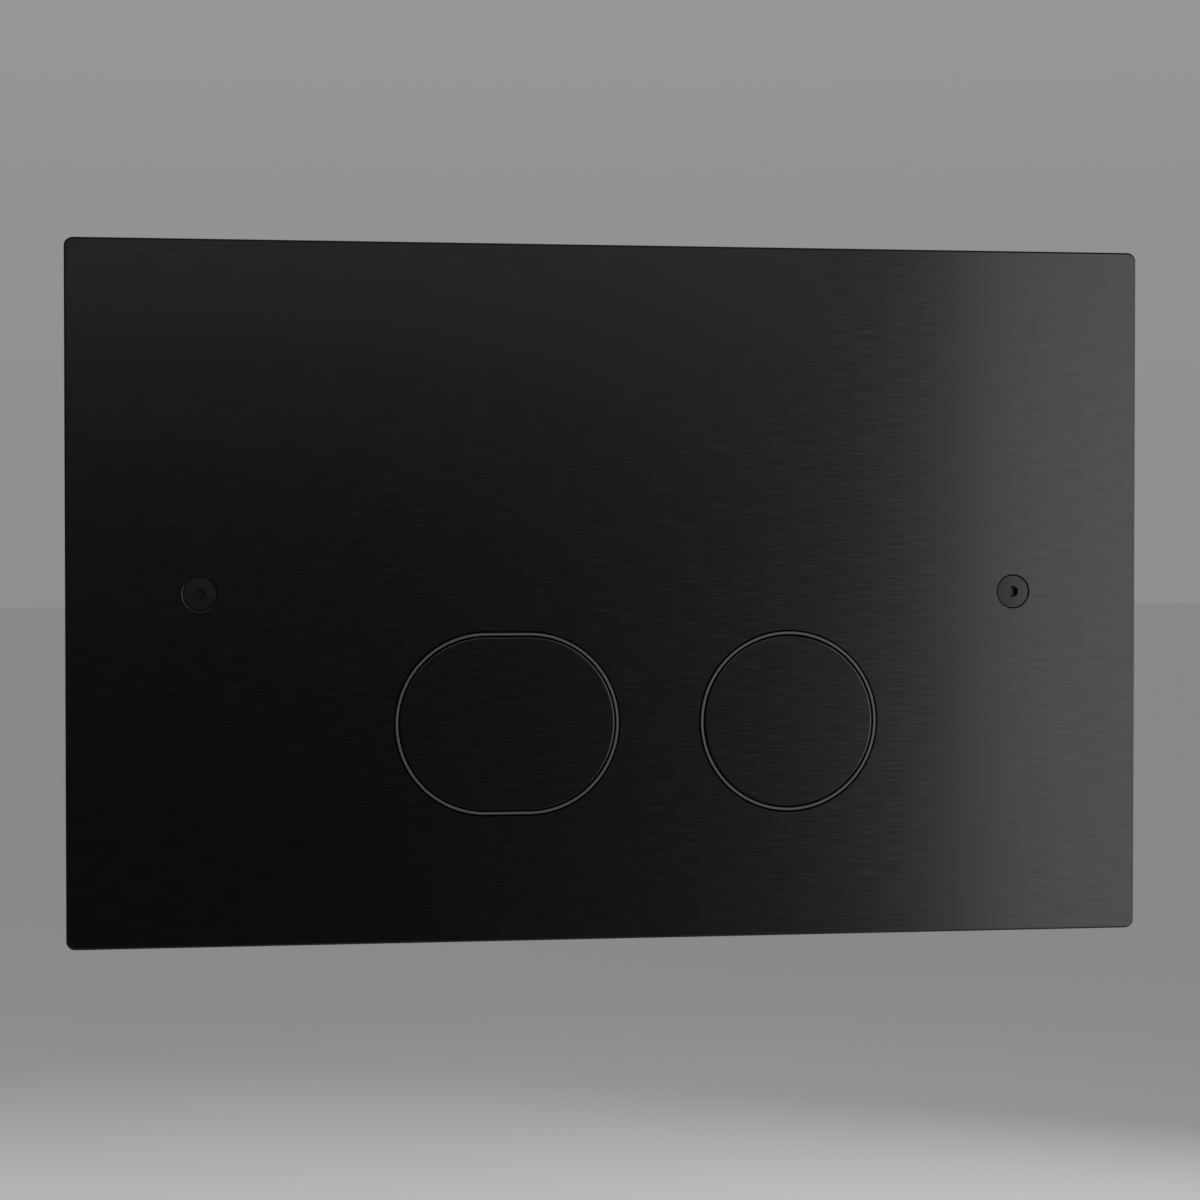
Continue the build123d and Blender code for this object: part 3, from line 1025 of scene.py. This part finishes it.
@dataclass
class Studio:
    """Pale floor, soft lamps, even surroundings and the camera.

    Attributes:
        camera_place: Where the camera stands.
        camera_yaw_deg: How far it looks to the right of straight at the wall.
        camera_pitch_deg: How far it looks down.
        lens_mm: Its focal length on a sensor 36 mm wide.
        surround: Shade of the surroundings above.
        horizon: Shade of the surroundings at the horizon.
        horizon_top: Where the shade of the surroundings above is reached, as the sine of the elevation.
        floor_z: Height of the floor.
        floor_half: Half the floor's side.
        floor_shade: Shade of the floor.
        lamps: The lamps.
    """

    camera_place: tuple[float, float, float] = (-0.1194, -0.7047, 0.0138)
    camera_yaw_deg: float = 9.408
    camera_pitch_deg: float = 1.25
    lens_mm: float = 92.31
    surround: str = "#9c9c9c"
    horizon: str = "#8f8f8e"
    horizon_top: float = 0.3
    floor_z: float = -0.48
    floor_half: float = 20.0
    floor_shade: str = "#dcdcda"
    lamps: tuple[Softbox | GradedBox, ...] = (
        # Mirrored in the plate's right end, its lightest part
        Softbox("right_window", (0.597, -1.123, -0.03), (0.363, 0.7), 2.25, (90, 0, 23.6), grid_deg=120),
        # These draw light lines on the edges that face right and up
        Softbox("right_side", (0.90, -0.574, -0.03), (0.82, 0.8), 4.3, (90, 0, 52.5), grid_deg=100),
        Softbox("right_wall", (1.15, 0.05, 0.0), (0.6, 0.7), 1.13, (90, 0, 90), grid_deg=120),
        Softbox("overhead", (-0.1, -1.05, 0.58), (1.2, 0.35), 1.7, (60, 0, 0), grid_deg=100),
        Softbox("upper_right", (0.72, -0.74, 0.64), (0.7, 0.6), 2.15, (58, 0, 44), grid_deg=100),
        # Mirrored in the rest of the plate's front, which lightens upwards and to the right
        GradedBox(
            "front_left",
            place=(-0.155, -1.2, 0.07),
            size=(0.99, 0.34),
            watts=0.00604,
            ratio=2.28,
            strips=6,
            grade=Grade.UP,
        ),
        GradedBox(
            "front_right",
            place=(0.26, -1.21, -0.03),
            size=(0.32, 0.7),
            watts=0.01757,
            ratio=1.968,
            strips=4,
            grade=Grade.RIGHT,
        ),
        # Light for the back
        Softbox("rear_left", (-0.9, 1.5, 0.45), (0.9, 0.8), 5.5, (-77, 0, 31)),
        Softbox("rear_right", (0.9, 1.5, 0.35), (0.9, 0.8), 5.5, (-80, 0, -31)),
    )

    def build_floor(self) -> None:
        """Lay a pale painted floor under the object."""
        corner = np.array([-1, 1]) * self.floor_half
        across, along = np.meshgrid(corner, corner)
        points = np.stack([across, along, np.full_like(across, self.floor_z)], axis=-1).reshape(-1, 3)
        mesh = bpy.data.meshes.new("studio_floor")
        mesh.from_pydata(points, [], [(0, 1, 3, 2)])
        floor = bpy.data.objects.new("studio_floor", mesh)
        bpy.context.scene.collection.objects.link(floor)
        shade = self.floor_shade
        paint = Polymer("studio_floor_paint", shade, shade, roughness=0.8, grain_mm=3.0, cloud_mm=400.0)
        mesh.materials.append(paint.material())

    def build_world(self) -> None:
        """Surround the object with even pale light, a little darker where it meets the floor."""
        world = bpy.data.worlds.new("studio_surround")
        world.use_nodes = True
        tree = world.node_tree
        tree.nodes.clear()
        direction = add(tree, "ShaderNodeTexCoord")
        split = add(tree, "ShaderNodeSeparateXYZ", {"Vector": (direction, "Generated")})
        rise = add(
            tree,
            "ShaderNodeMapRange",
            {"Value": (split, "Z"), "From Max": self.horizon_top},
            interpolation_type="SMOOTHSTEP",
        )
        shade = add(
            tree,
            "ShaderNodeMix",
            {"Factor": (rise, "Result"), "A": linear(self.horizon), "B": linear(self.surround)},
            data_type="RGBA",
        )
        surround = add(tree, "ShaderNodeBackground", {"Color": (shade, "Result"), "Strength": 1.0})
        add(tree, "ShaderNodeOutputWorld", {"Surface": (surround, "Background")})
        bpy.context.scene.world = world

    def build_camera(self) -> None:
        """Stand the camera where it sees the plate from the front left, and look through it."""
        data = bpy.data.cameras.new("camera")
        data.lens = self.lens_mm
        camera = bpy.data.objects.new("camera", data)
        camera.location = self.camera_place
        camera.rotation_euler = (
            math.radians(90 - self.camera_pitch_deg),
            0.0,
            math.radians(-self.camera_yaw_deg),
        )
        bpy.context.scene.collection.objects.link(camera)
        bpy.context.scene.camera = camera

    def build(self) -> None:
        """Set up the floor, the lamps, the surroundings and the camera."""
        self.build_floor()
        for lamp in self.lamps:
            lamp.build()
        self.build_world()
        self.build_camera()
        bpy.context.scene.view_settings.view_transform = "Standard"
        log.info("set up the studio")


def main() -> None:
    """Build and dress the object's sub-assemblies, then the studio round them."""
    finishes = Finishes()
    FacePlate().dress(finishes)
    mounting_frame = MountingFrame()
    mounting_frame.build(finishes)
    mounting_frame.dress(finishes)
    for unit in (
        ButtonUnit("full_flush", Body.FULL, "full_flush_press"),
        ButtonUnit("half_flush", Body.HALF, "half_flush_press"),
    ):
        unit.build_rod(finishes)
        unit.build_springs(finishes)
        unit.dress(finishes)
    Studio().build()


if __name__ == "__main__":
    main()
